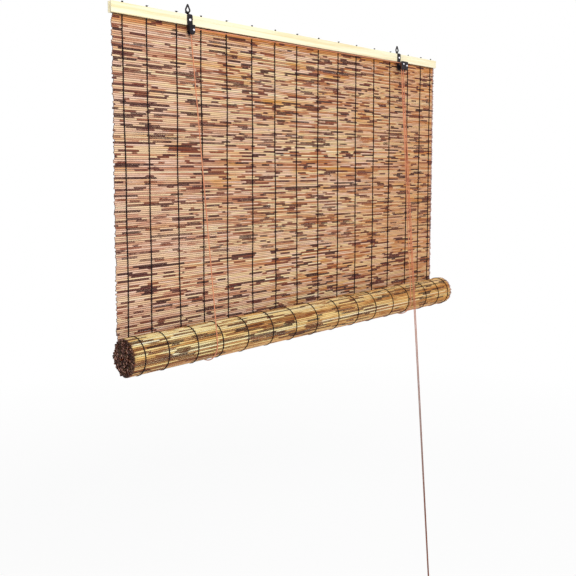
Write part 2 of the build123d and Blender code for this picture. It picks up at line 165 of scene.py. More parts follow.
class Shader:
    """Builds the nodes of one procedural material."""

    def __init__(self, name: str) -> None:
        """Starts a material with its surface shader and the place on the piece.

        Args:
            name: The material's name.
        """
        self.material = bpy.data.materials.new(name)
        self.material.use_nodes = True
        self.tree = self.material.node_tree
        self.surface = self.tree.nodes["Principled BSDF"]
        self.place = self.add("TexCoord").outputs["Object"]

    def set(self, node: bpy.types.Node, key: object, value: object) -> None:
        """Links a socket to another, or sets its constant.

        Args:
            node: The node.
            key: The input socket's name or number.
            value: A socket to link from, or a constant.
        """
        if isinstance(value, Socket):
            self.tree.links.new(value, node.inputs[key])
        else:
            node.inputs[key].default_value = value

    def add(self, kind: str, inputs: Optional[dict] = None, **settings: object) -> bpy.types.Node:
        """Adds a node.

        Args:
            kind: The node's type, without its ShaderNode prefix.
            inputs: Sockets to link or set.
            settings: Other properties of the node.

        Returns:
            The node.
        """
        node = self.tree.nodes.new("ShaderNode" + kind)
        for name, value in settings.items():
            setattr(node, name, value)
        for key, value in (inputs or {}).items():
            self.set(node, key, value)
        return node

    def math(self, operation: str, first: object, second: object, clamp: bool = False) -> Socket:
        """Works out one sum of two values or sockets, kept from 0 to 1 where clamp asks for it."""
        return self.add("Math", {0: first, 1: second}, operation=operation, use_clamp=clamp).outputs[0]

    def times(self, first: object, second: object, clamp: bool = False) -> Socket:
        """Multiplies two values or sockets."""
        return self.math("MULTIPLY", first, second, clamp)

    def point(self, x: object, y: object, z: object) -> Socket:
        """Joins three values to a vector."""
        return self.add("CombineXYZ", {0: x, 1: y, 2: z}).outputs[0]

    def stretch(self, along: float, across: float) -> Socket:
        """Scales the place on the piece, along the blind and across it."""
        return self.add("VectorMath", {0: self.place, 1: (along, across, across)}, operation="MULTIPLY").outputs[0]

    def noise(self, where: object, scale: float, detail: float = 2.0, rough: float = 0.5) -> Socket:
        """Adds a noise pattern of a scale, with finer layers of some strength."""
        inputs = {"Vector": where, "Scale": scale, "Detail": detail, "Roughness": rough}
        return self.add("TexNoise", inputs).outputs[0]

    def between(self, level: object, low: float, high: float) -> Socket:
        """Stretches a level so that low becomes 0 and high becomes 1."""
        return self.add("MapRange", {"Value": level, "From Min": low, "From Max": high}).outputs[0]

    def ramp(self, level: object, stops: Stops) -> Socket:
        """Turns a level into a colour.

        Args:
            level: The level's socket.
            stops: Places and their colours.

        Returns:
            The colour's socket.
        """
        node = self.add("ValToRGB", {0: level})
        elements = node.color_ramp.elements
        while len(elements) < len(stops):
            elements.new(0.5)
        for element, (place, colour) in zip(elements, sorted(stops)):
            element.position = place
            element.color = paint(colour)
        return node.outputs[0]

    def mix(self, share: object, first: object, second: object, blend: str = "MIX") -> Socket:
        """Mixes a share of the second colour into the first."""
        return self.add("Mix", {0: share, 6: first, 7: second}, data_type="RGBA", blend_type=blend).outputs[2]

    def tint(self, colour: object, level: object, share: float, tone: Colour) -> Socket:
        """Mixes a paint colour in where a level is high, up to a share."""
        return self.mix(self.times(level, share, True), colour, paint(tone))

    def bump(self, height: object, strength: float, distance: float) -> None:
        """Gives the surface a relief, with its strength and its depth in metres."""
        relief = self.add("Bump", {"Height": height, "Strength": strength, "Distance": distance})
        self.set(self.surface, "Normal", relief.outputs[0])

    def finish(self, colour: object, roughness: object, specular: float) -> Material:
        """Gives the surface its colour and gloss.

        Args:
            colour: The colour or its socket.
            roughness: The roughness or its socket.
            specular: How strongly it reflects.

        Returns:
            The material.
        """
        for key, value in (("Base Color", colour), ("Roughness", roughness), ("Specular IOR Level", specular)):
            self.set(self.surface, key, value)
        return self.material


@dataclass(frozen=True)
class Lean:
    """A tone that the reeds take on, or painted shade laid on them, from where it starts to where it is full."""

    measure: Measure
    start: float
    full: float
    share: float
    tone: Colour


PALE_TIPS = Lean(Measure.ACROSS, 0.4925, 0.4965, 0.60, (176, 154, 166))


@dataclass(frozen=True)
class ReedFinish:
    """The skin of split reeds: straw rows with pink, rust and plum streaks."""

    name: str = "split_reed"
    rows: Stops = (
        (0.08, (255, 238, 206)), (0.26, (250, 222, 170)), (0.42, (240, 204, 158)),
        (0.56, (244, 208, 184)), (0.70, (220, 170, 132)), (0.90, (184, 116, 78)),
    )
    row_share: float = 0.50
    patch: Colour = (232, 168, 70)
    patch_share: float = 0.65
    rust: Colour = (184, 104, 56)
    rust_level: float = 0.60
    dashes: Stops = ((0.34, (140, 70, 46)), (0.48, (92, 38, 40)), (0.64, (56, 22, 28)))
    dash_scale: float = 24.0
    dash_level: float = 0.588
    leans: tuple[Lean, ...] = (
        Lean(Measure.DRIFT, 0.25, -0.25, 0.38, (240, 200, 182)),
        Lean(Measure.DRIFT, 0.30, 0.75, 0.38, (228, 152, 78)),
        Lean(Measure.ROW, 5.5, 2.5, 0.65, (220, 140, 56)),
        # Painted shade of the batten, darkening the first rows under it.
        Lean(Measure.ROW, 1.6, 0.8, 0.85, (72, 34, 18)),
        PALE_TIPS,
    )
    fibres: Stops = ((0.32, (160, 138, 120)), (0.66, (255, 255, 250)))
    # Painted shade laid in the crevices where each reed meets the next rows.
    groove_shade: Colour = (52, 24, 18)
    groove_shade_share: float = 0.95
    groove_shade_reach: tuple[float, float] = (-0.22, -0.74)
    rim: Stops = ((0.25, (70, 36, 32)), (0.60, (140, 90, 76)), (0.90, (214, 170, 154)))
    # Painted shade: the hollow inside each cut end is near black.
    hollow: Colour = (24, 10, 12)
    roughness: float = 0.6

    def make(self) -> Material:
        """Builds the material.

        Returns:
            The material.
        """
        shader = Shader(self.name)
        reed = shader.add("Attribute", attribute_name="reed").outputs["Vector"]
        along, row, zone = shader.add("SeparateXYZ", {0: reed}).outputs
        own = shader.add("TexWhiteNoise", {"W": row}, noise_dimensions="1D").outputs["Value"]
        along = shader.math("ADD", along, shader.times(own, 3.0))

        def streaks(row_step: float, layer: float, scale: float, detail: float = 1.0) -> Socket:
            """Adds noise that runs along the reeds and is new on each one."""
            return shader.noise(shader.point(along, shader.times(row, row_step), layer), scale, detail)

        slow = streaks(3.17, 0.0, 6.0)
        fine = streaks(7.9, 0.0, 30.0)
        tone = shader.times(own, self.row_share)
        for level, share in ((slow, 0.45), (fine, 0.14)):
            tone = shader.math("ADD", tone, shader.times(shader.between(level, 0.3, 0.7), share))
        colour = shader.ramp(tone, self.rows)

        cloud = shader.noise(shader.stretch(3.0, 22.0), 2.2, 3.0, 0.6)
        patchy = shader.times(shader.between(cloud, 0.50, 0.64), shader.between(slow, 0.42, 0.56))
        colour = shader.tint(colour, patchy, self.patch_share, self.patch)
        rusty = shader.between(streaks(2.71, 7.3, 9.0), self.rust_level, self.rust_level + 0.02)
        colour = shader.tint(colour, rusty, 0.85, self.rust)

        across, _, height = shader.add("SeparateXYZ", {0: shader.place}).outputs
        wander = shader.times(shader.noise(shader.stretch(1.0, 5.0), 2.0, 1.0), 0.6)
        measures = {Measure.ACROSS: across, Measure.DRIFT: shader.math("ADD", across, wander),
                    Measure.HEIGHT: height, Measure.ROW: row}
        for lean in self.leans:
            level = shader.between(measures[lean.measure], lean.start, lean.full)
            colour = shader.tint(colour, level, lean.share, lean.tone)

        clouded = shader.times(shader.math("SUBTRACT", cloud, 0.5), 0.20)
        dash = shader.math("ADD", streaks(5.31, 3.1, self.dash_scale, 0.0), clouded)
        dash = shader.between(dash, self.dash_level, self.dash_level + 0.012)
        shade = shader.ramp(streaks(1.3, 9.0, 6.0, 0.0), self.dashes)
        colour = shader.mix(shader.times(dash, 0.95, True), colour, shade)

        fibre = shader.noise(shader.stretch(30.0, 1700.0), 1.0, 3.0, 0.65)
        colour = shader.mix(0.30, colour, shader.ramp(fibre, self.fibres), "MULTIPLY")
        # Painted shade: each reed darkens towards its top and bottom, in the crevices between rows.
        colour = shader.tint(colour, shader.between(zone, *self.groove_shade_reach), self.groove_shade_share, self.groove_shade)
        # The zone passes 0.5 at the cut rim and 1.5 at the hollow.
        colour = shader.mix(shader.between(zone, 0.4, 0.6), colour, shader.ramp(own, self.rim))
        # Painted shade darkens the recessed hollow of each cut end.
        colour = shader.mix(shader.between(zone, 1.4, 1.6), colour, paint(self.hollow))
        shader.bump(fibre, 0.3, 0.0003)
        return shader.finish(colour, self.roughness, 0.2)


@dataclass(frozen=True)
class BattenFinish:
    """Planed pale softwood with faint grain."""

    name: str = "planed_softwood"
    tones: Stops = ((0.34, (230, 212, 158)), (0.50, (246, 236, 202)), (0.66, (252, 243, 212)))

    def make(self) -> Material:
        """Builds the material.

        Returns:
            The material.
        """
        shader = Shader(self.name)
        grain = shader.noise(shader.stretch(6.0, 260.0), 1.0, 5.0, 0.6)
        figure = shader.noise(shader.stretch(2.0, 30.0), 1.4)
        level = shader.math("ADD", shader.times(grain, 0.65), shader.times(figure, 0.35))
        shader.bump(grain, 0.25, 0.0002)
        return shader.finish(shader.ramp(level, self.tones), 0.6, 0.3)


@dataclass(frozen=True)
class MetalFinish:
    """Metal with worn spots: dark enamel on the hangers, bare metal on rivets and wheels."""

    name: str
    base: Colour
    worn: Colour
    roughness: float
    metallic: float
    wear_level: float = 0.62
    specular: float = 0.5

    def make(self) -> Material:
        """Builds the material.

        Returns:
            The material.
        """
        shader = Shader(self.name)
        spots = shader.noise(shader.place, 420.0, 4.0, 0.6)
        wear = shader.between(spots, self.wear_level, self.wear_level + 0.08)
        cast = shader.times(shader.noise(shader.place, 90.0), 0.35)
        colour = shader.mix(cast, paint(self.base), paint(self.worn))
        colour = shader.tint(colour, wear, 0.7, self.worn)
        rough = shader.math("ADD", shader.times(spots, 0.25), self.roughness - 0.12)
        shader.set(shader.surface, "Metallic", self.metallic)
        shader.bump(spots, 0.15, 0.0001)
        return shader.finish(colour, rough, self.specular)


@dataclass(frozen=True)
class FibreFinish:
    """Twisted fibre: the black binding thread and the salmon cord, which can be worn lower down."""

    name: str
    light: Colour
    dark: Colour
    scale: float
    sheen: float = 0.2
    worn: Optional[Colour] = None
    worn_span: tuple[float, float] = (-0.55, -0.95)

    def make(self) -> Material:
        """Builds the material.

        Returns:
            The material.
        """
        shader = Shader(self.name)
        fibres = shader.noise(shader.place, self.scale, 4.0, 0.7)
        slow = shader.noise(shader.place, 22.0)
        level = shader.math("ADD", shader.times(fibres, 0.6), shader.times(slow, 0.4))
        colour = shader.ramp(level, ((0.36, self.dark), (0.60, self.light)))
        if self.worn is not None:
            height = shader.add("SeparateXYZ", {0: shader.place}).outputs[2]
            colour = shader.tint(colour, shader.between(height, *self.worn_span), 0.85, self.worn)
        shader.set(shader.surface, "Sheen Weight", self.sheen)
        shader.bump(fibres, 0.4, 0.0002)
        return shader.finish(colour, 0.85, 0.2)


class Finishes:
    """Every material of the blind, made once."""

    def __init__(self) -> None:
        """Makes the materials."""
        self.reed = ReedFinish().make()
        self.rolled_reed = ReedFinish(
            name="rolled_reed",
            rows=((0.12, (255, 253, 222)), (0.38, (255, 243, 188)), (0.56, (250, 222, 148)),
                  (0.68, (232, 190, 124)), (0.80, (176, 118, 66)), (0.96, (110, 60, 32))),
            row_share=0.62, patch=(222, 162, 80), rust=(140, 72, 36), rust_level=0.590,
            dashes=((0.34, (120, 58, 30)), (0.48, (78, 32, 22)), (0.64, (44, 18, 16))),
            dash_scale=15.0, dash_level=0.590, groove_shade_share=0.90, groove_shade_reach=(-0.30, -0.80),
            leans=(Lean(Measure.ACROSS, -0.45, 0.45, 0.42, (232, 156, 62)),
                   # Painted shade on the roll's underside, in salmon.
                   Lean(Measure.HEIGHT, -0.676, -0.690, 0.45, (222, 146, 116)),
                   # Painted shade on the staggered reed ends at the roll's left end.
                   Lean(Measure.ACROSS, -0.5095, -0.5120, 0.90, (64, 30, 22)), PALE_TIPS),
            rim=((0.25, (44, 20, 18)), (0.65, (92, 50, 40)), (0.92, (214, 160, 140))), roughness=0.5,
        ).make()
        self.batten = BattenFinish().make()
        self.enamel = MetalFinish("dark_enamel", (13, 8, 12), (60, 50, 58), 0.45, 0.0, 0.66, specular=0.16).make()
        self.rivet = MetalFinish("bright_rivet", (206, 202, 208), (236, 232, 236), 0.28, 0.9).make()
        self.wheel = MetalFinish("sheave_steel", (84, 76, 80), (150, 142, 144), 0.36, 0.9).make()
        self.thread = FibreFinish("binding_thread", (34, 25, 28), (10, 6, 8), 1500.0, 0.0).make()
        self.cord = FibreFinish("salmon_cord", (228, 158, 118), (190, 112, 80), 900.0).make()
        self.pull = FibreFinish("handled_cord", (222, 144, 104), (180, 98, 70), 900.0, worn=(120, 80, 68)).make()


class MeshBuffer:
    """Collects the points and faces of one piece."""

    def __init__(self) -> None:
        """Starts empty."""
        self.points: list[np.ndarray] = []
        self.faces: list[tuple[int, ...]] = []
        self.tags: list[np.ndarray] = []
        self.count = 0

    def add(self, points: np.ndarray, faces: Sequence[tuple[int, ...]], tags: Optional[np.ndarray]) -> None:
        """Adds a group of points and its faces.

        Args:
            points: The points, one row each.
            faces: Faces, numbered from the group's first point.
            tags: The reed attribute of each point: place along it, its row and its zone.
        """
        self.points.append(points)
        self.tags.append(np.zeros_like(points) if tags is None else tags)
        self.faces.extend(tuple(index + self.count for index in face) for face in faces)
        self.count += len(points)

    def grid(self, rings: np.ndarray, tags: Optional[np.ndarray] = None) -> None:
        """Skins a row of closed rings.

        Args:
            rings: Points by ring and place round it.
            tags: The reed attribute by ring and place.
        """
        stations, sides = rings.shape[:2]
        faces = []
        for station in range(stations - 1):
            for side in range(sides):
                near = station * sides + side
                step = station * sides + (side + 1) % sides
                faces.append((near, step, step + sides, near + sides))
        self.add(rings.reshape(-1, 3), faces, None if tags is None else tags.reshape(-1, 3))

    def disc(self, ring: np.ndarray, tags: Optional[np.ndarray], flip: bool) -> None:
        """Closes a ring with one face, which can look the other way."""
        order = tuple(range(len(ring)))
        self.add(ring, [order[::-1] if flip else order], tags)

    def tube(self, line: np.ndarray, section: np.ndarray, grow: Optional[np.ndarray] = None) -> None:
        """Adds a length of cord with closed ends.

        Args:
            line: The line's points.
            section: The section's points, across and up.
            grow: The section's scale at each point.
        """
        rings = sweep_rings(line, section, grow)
        self.grid(rings)
        self.disc(rings[0], None, False)
        self.disc(rings[-1], None, True)

    def build(self, name: str, material: Material, slot: str) -> Piece:
        """Makes the object.

        Args:
            name: The piece's name.
            material: Its finish.
            slot: The record's material slot that it belongs to, which is not used.

        Returns:
            The object.
        """
        mesh = bpy.data.meshes.new(name)
        mesh.from_pydata(np.concatenate(self.points).tolist(), [], self.faces)
        mesh.shade_smooth()
        attribute = mesh.attributes.new("reed", "FLOAT_VECTOR", "POINT")
        attribute.data.foreach_set("vector", np.concatenate(self.tags).astype(np.float32).ravel())
        mesh.materials.append(material)
        piece = linked(name, mesh)
        return piece


def sweep_rings(line: np.ndarray, section: np.ndarray, grow: Optional[np.ndarray] = None) -> np.ndarray:
    """Carries a section along a line without twisting it.

    Args:
        line: The line's points.
        section: The section's points, across and up.
        grow: The section's scale at each point.

    Returns:
        Points by ring and place round it.
    """
    tangents = np.gradient(line, axis=0)
    tangents /= np.linalg.norm(tangents, axis=1)[:, None]
    side = np.cross(tangents[0], (0.0, 0.0, 1.0))
    if np.linalg.norm(side) < 0.1:
        side = np.cross(tangents[0], (0.0, 1.0, 0.0))
    side /= np.linalg.norm(side)
    scale = np.ones(len(line)) if grow is None else grow
    rings = np.empty((len(line), len(section), 3))
    for place, (point, along) in enumerate(zip(line, tangents)):
        side = side - along * side.dot(along)
        side /= np.linalg.norm(side)
        up = np.cross(side, along)
        rings[place] = point + scale[place] * (section[:, :1] * side + section[:, 1:] * up)
    return rings


def round_section(radius: float, sides: int) -> np.ndarray:
    """Gives the points of a regular section, across and up."""
    turn = np.arange(sides) * math.tau / sides
    return np.stack([np.cos(turn), np.sin(turn)], axis=1) * radius


@dataclass
class ReedCutter:
    """Makes single reeds: slightly bent tubes with cut, hollow ends."""

    rng: np.random.Generator
    height: float = 0.00192
    depth: float = 0.00150
    sides: int = 8
    hollow_share: float = 0.52
    hollow_depth: float = 0.0016
    sway: float = 0.00012

    def cut(self, buffer: MeshBuffer, ends: tuple[float, float], y: float, z: float, row: float, stations: int,
            outward: float = 0.0) -> None:
        """Adds one reed along X.

        Args:
            buffer: Where it is added.
            ends: The X of its left and right ends.
            y: Its middle's Y.
            z: Its middle's Z.
            row: Its own number, which its colours follow.
            stations: How many lengths it is divided into.
            outward: The angle round it of the side that shows, from the back.
        """
        along = np.linspace(*ends, stations + 1)
        phase = self.rng.uniform(0, LAST_PHASE, 4)
        # A long and a short wave bend the reed each way, in radians per metre.
        wave_z = np.sin(along * 13 + phase[0]) * 0.6 + np.sin(along * 37 + phase[1]) * 0.4
        wave_y = np.sin(along * 17 + phase[2]) * 0.6 + np.sin(along * 41 + phase[3]) * 0.4
        girth = 1 + 0.05 * np.sin(along * 23 + phase[1]) + self.rng.uniform(-0.04, 0.02)
        turn = np.arange(self.sides) * math.tau / self.sides
        rings = np.empty((stations + 1, self.sides, 3))
        rings[:, :, 0] = along[:, None]
        rings[:, :, 1] = y + (wave_y * self.sway)[:, None] + self.depth * girth[:, None] * np.cos(turn)
        rings[:, :, 2] = z + (wave_z * self.sway)[:, None] + self.height * girth[:, None] * np.sin(turn)
        tags = np.empty_like(rings)
        tags[:, :, 0] = along[:, None]
        tags[:, :, 1] = row
        # The skin's zone is 0 where the reed faces out and falls to -1 where it meets the next rows; the material
        # paints shade there.
        tags[:, :, 2] = ReedZone.SKIN.value - (1 - np.abs(np.cos(turn - outward)))
        buffer.grid(rings, tags)
        for index, inward in ((0, 1), (-1, -1)):
            self.hollow_end(buffer, rings[index], tags[index], inward)

    def hollow_end(self, buffer: MeshBuffer, outer: np.ndarray, tags: np.ndarray, inward: int) -> None:
        """Closes one end with a cut rim round a short hollow.

        Args:
            buffer: Where it is added.
            outer: The end's outer ring.
            tags: The ring's reed attribute.
            inward: Which way along X the reed lies, 1 or -1.
        """
        middle = outer.mean(axis=0)
        inner = middle + (outer - middle) * self.hollow_share
        sunk = inner + np.array((inward * self.hollow_depth, 0.0, 0.0))
        rim, dark = tags.copy(), tags.copy()
        rim[:, 2] = ReedZone.CUT_RIM.value
        dark[:, 2] = ReedZone.HOLLOW.value
        buffer.grid(np.stack([inner, outer][::inward]), np.stack([rim, rim]))
        buffer.grid(np.stack([sunk, inner][::inward]), np.stack([dark, dark]))
        buffer.disc(sunk, dark, inward > 0)


@dataclass
class ReedMat:
    """The hanging mat: rows of split reeds from the batten down to the roll."""

    finishes: Finishes
    seed: int = 11
    end_spread: float = 0.0018
    left_drift: float = 0.0045
    unevenness: float = 0.0001
    stations: int = 56

    def build(self) -> list[Piece]:
        """Builds the mat.

        Returns:
            Its pieces.
        """
        rng = np.random.default_rng(self.seed)
        cutter = ReedCutter(rng)
        buffer = MeshBuffer()
        top = SIZES.batten_bottom + 0.4 * SIZES.reed_pitch
        bottom = SIZES.roll_z + 0.5 * SIZES.reed_pitch
        rows = round((top - bottom) / SIZES.reed_pitch)
        for row, z in enumerate(np.linspace(top, bottom, rows + 1)):
            drift = self.left_drift * row / rows
            start = -SIZES.half_width - drift + rng.uniform(-1, 1) * self.end_spread
            end = SIZES.half_width + rng.uniform(-1, 1) * self.end_spread
            y = rng.uniform(-self.unevenness, self.unevenness)
            cutter.cut(buffer, (start, end), y, z, float(row), self.stations)
        mat = buffer.build("mat_reeds", self.finishes.reed, "reed")
        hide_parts("reed_mat")
        stretch_with_roll(mat)
        return [mat]


def stretch_with_roll(piece: Piece) -> None:
    """Bakes the placement of a piece of the hanging part, which has no parent, into its mesh."""
    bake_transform(piece)


@dataclass
class WarpThreads:
    """The binding threads on one face of the mat, looped over every reed."""

    finishes: Finishes
    side: Side
    radius: float = 0.00130
    per_reed: int = 4
    rise: float = 0.00150
    rise_swing: float = 0.00040
    fade_length: float = 0.03
    bead_swell: float = 0.34
    bead_chance: float = 0.16

    def build(self) -> list[Piece]:
        """Builds the threads.

        Returns:
            Their piece.
        """
        rng = np.random.default_rng(5 if self.side is Side.FRONT else 6)
        buffer = MeshBuffer()
        steps = round((SIZES.batten_bottom - SIZES.roll_z) / SIZES.reed_pitch) * self.per_reed
        z = np.linspace(SIZES.batten_bottom + 0.001, SIZES.roll_z + 0.0004, steps + 1)
        cycle = (z - z[0]) / SIZES.reed_pitch * math.tau
        section = round_section(self.radius, 5)
        for x in SIZES.thread_places():
            phase = rng.uniform(0, LAST_PHASE, 3)
            drift = 0.0009 * np.sin(z * 9 + phase[0]) + 0.0005 * np.sin(z * 31 + phase[1])
            twist = 0.00035 * np.sin(cycle * 0.5 + phase[2])
            fade = np.minimum(1.0, np.minimum(z[0] - z, z - z[-1]) / self.fade_length)
            out = self.rise + self.rise_swing * np.cos(cycle)
            line = np.stack([x + (drift * fade + twist), self.side.value * out, z], axis=1)
            beads = 1.0 + self.bead_swell * np.cos(cycle) + self.bead_chance * rng.uniform(-1, 1, len(z))
            buffer.grid(sweep_rings(line, section, beads))
        name = f"binding_threads_{self.side.name.lower()}"
        piece = buffer.build(name, self.finishes.thread, "thread")
        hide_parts(f"warp_threads_{self.side.name.lower()}")
        stretch_with_roll(piece)
        return [piece]


@dataclass
class ReedRoll:
    """The wound part of the mat and the threads round it."""

    finishes: Finishes
    seed: int = 23
    first_row: int = 400
    left_reach: float = 0.0128
    left_wander: float = 0.0050
    right_inset: float = 0.0008
    end_spread: float = 0.0022
    sink: float = 0.0002
    thread_radius: float = 0.00110
    ring_drift: float = 0.0105
    ring_start: float = 0.03
    ring_sweep: float = 5.85
    points_per_reed: int = 3

    def build(self) -> list[Piece]:
        """Builds the roll.

        Returns:
            Its pieces.
        """
        rng = np.random.default_rng(self.seed)
        outer = ReedCutter(rng, height=0.00190, depth=0.00190)
        inner = ReedCutter(rng, height=0.00176, depth=0.00176)
        buffer = MeshBuffer()
        angle = 0.0
        row = self.first_row
        while SIZES.crest_radius(angle) - SIZES.mat_thickness > SIZES.core_radius:
            radius = SIZES.crest_radius(angle) - SIZES.mat_thickness / 2 - self.sink
            cone = self.left_reach + self.left_wander * (1 - radius / SIZES.roll_radius)
            left = -SIZES.half_width - cone + rng.uniform(-1, 1) * self.end_spread
            right = SIZES.half_width - self.right_inset + rng.uniform(-1, 1) * self.end_spread
            _, y, z = SIZES.roll_point(0.0, angle, radius)
            cutter, stations = (outer, 40) if angle < math.tau else (inner, 4)
            cutter.cut(buffer, (left, right), y, z, float(row), stations, -angle)
            angle += SIZES.reed_pitch / (SIZES.crest_radius(angle) - SIZES.mat_thickness / 2)
            row += 1
        roll = buffer.build("rolled_reeds", self.finishes.rolled_reed, "rolled_reed")
        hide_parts("reed_roll")
        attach(roll, "roll")
        return [roll, self.rings()]

    def rings(self) -> Piece:
        """Builds the threads round the roll.

        Returns:
            Their piece.
        """
        rng = np.random.default_rng(self.seed + 1)
        buffer = MeshBuffer()
        section = round_section(self.thread_radius, 5)
        turn_of_reed = SIZES.reed_pitch / (SIZES.roll_radius - SIZES.mat_thickness / 2)
        count = round(self.ring_sweep / turn_of_reed) * self.points_per_reed
        angles = np.linspace(self.ring_start, self.ring_sweep, count)
        for x, share in zip(SIZES.thread_places(), SIZES.thread_shares):
            x -= self.ring_drift * (1 - share) ** 2
            phase = rng.uniform(0, LAST_PHASE)
            line = []
            for angle in angles:
                lift = 0.00035 + 0.00022 * math.cos(math.tau * angle / turn_of_reed)
                sway = 0.0008 * math.sin(angle * 1.7 + phase) * min(1.0, angle)
                line.append(SIZES.roll_point(x + sway, angle, SIZES.crest_radius(angle) + lift))
            beads = 1.0 + 0.16 * rng.uniform(-1, 1, len(angles))
            buffer.grid(sweep_rings(np.array(line), section, beads))
        piece = buffer.build("roll_threads", self.finishes.thread, "thread")
        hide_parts("roll_thread_rings")
        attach(piece, "roll")
        return piece


@dataclass
class HeadRail:
    """The two strips of the batten and the thread knots on it."""

    finishes: Finishes
    knot_y: float = -0.0032
    thread_radius: float = 0.00085
    tail_reach: float = 0.0042

    def build(self) -> list[Piece]:
        """Dresses the batten and ties the thread knots.

        Returns:
            The pieces.
        """
        battens = [rounded_copy(node, self.finishes.batten, 0.0005)
                   for node in ("head_batten_front", "head_batten_back")]
        return battens + [self.knots()]

    def knots(self) -> Piece:
        """Ties a small knot with two tails on the batten for each thread.

        Returns:
            Their piece.
        """
        rng = np.random.default_rng(9)
        buffer = MeshBuffer()
        section = round_section(self.thread_radius, 6)
        turn = np.linspace(0, 2 * math.tau, 26)
        share = np.linspace(0, 1, 5)
        for x in SIZES.thread_places():
            size = rng.uniform(0.0012, 0.0016)
            line = np.stack([x + size * np.cos(turn) * (0.8 + 0.2 * np.cos(turn * 0.7)),
                             self.knot_y + 0.7 * size * np.sin(turn),
                             SIZES.batten_top + 0.0009 + 0.0016 * turn / turn[-1]], axis=1)
            buffer.grid(sweep_rings(line, section))
            for lean in rng.uniform(-1, 1, 2):
                tail = np.stack([x + lean * self.tail_reach * share, self.knot_y - 0.001 * share * abs(lean),
                                 SIZES.batten_top + 0.0016 + 0.0012 * share], axis=1)
                buffer.grid(sweep_rings(tail, section * 0.7, 1 - 0.5 * share))
        piece = buffer.build("thread_knots_tied", self.finishes.thread, "thread")
        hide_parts("thread_knots")
        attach(piece, "head")
        return piece


def corner_cutter(x: float, z: float, side: float, radius: float) -> Piece:
    """Makes the block that rounds one upper corner of a strap.

    Args:
        x: The strap's edge.
        z: Its top.
        side: 1 for the right corner and -1 for the left one.
        radius: The corner's new radius.

    Returns:
        The block, which is deleted after its cut.
    """
    spare = 0.002
    half_depth = 0.015
    outline = [(x + side * spare, z + spare), (x - side * radius, z + spare)]
    outline += [(x - side * radius + side * radius * math.cos(angle), z - radius + radius * math.sin(angle))
                for angle in np.linspace(math.pi / 2, 0.0, 10)]
    outline.append((x + side * spare, z - radius))
    count = len(outline)
    points = [(a, y, b) for y in (-half_depth, half_depth) for a, b in outline]
    faces = [tuple(range(count)), tuple(range(2 * count - 1, count - 1, -1))]
    faces += [(i, i + count, (i + 1) % count + count, (i + 1) % count) for i in range(count)]
    mesh = bpy.data.meshes.new("corner_cutter")
    mesh.from_pydata(points, [], faces)
    shell = bmesh.new()
    shell.from_mesh(mesh)
    bmesh.ops.recalc_face_normals(shell, faces=shell.faces)
    shell.to_mesh(mesh)
    shell.free()
    return linked("corner_cutter", mesh)


def rounded_copy(node: str, material: Material, edge: float, body: str = "head",
                 corners: Sequence[tuple[float, float, float, float]] = ()) -> Piece:
    """Stands in for a CAD node with a copy whose sharp edges are broken.

    Args:
        node: The CAD node.
        material: The copy's finish.
        edge: How wide the broken edges are.
        body: The body that it rides on.
        corners: Upper corners to round: edge, top, side and radius of each.

    Returns:
        The copy.
    """
    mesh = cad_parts[node].data.copy()
    mesh.name = f"{node}_finished"
    piece = linked(mesh.name, mesh)
    mesh.materials.clear()
    mesh.materials.append(material)
    blocks = [corner_cutter(*corner) for corner in corners]
    if blocks:
        piece.modifiers.new("join", "WELD").merge_threshold = WELD_DISTANCE
    for block in blocks:
        cut = piece.modifiers.new("corner", "BOOLEAN")
        cut.operation = "DIFFERENCE"
        cut.solver = "EXACT"
        cut.object = block
    piece.modifiers.new("weld", "WELD").merge_threshold = WELD_DISTANCE
    bevel = piece.modifiers.new("edges", "BEVEL")
    bevel.width = edge
    bevel.segments = 2
    bevel.angle_limit = math.radians(40)
    bevel.harden_normals = True
    graph = bpy.context.evaluated_depsgraph_get()
    piece.data = bpy.data.meshes.new_from_object(piece.evaluated_get(graph))
    piece.modifiers.clear()
    for block in blocks:
        bpy.data.objects.remove(block)
    piece.data.shade_smooth()
    piece.data.set_sharp_from_angle(angle=math.radians(38))
    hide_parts(node)
    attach(piece, body)
    return piece


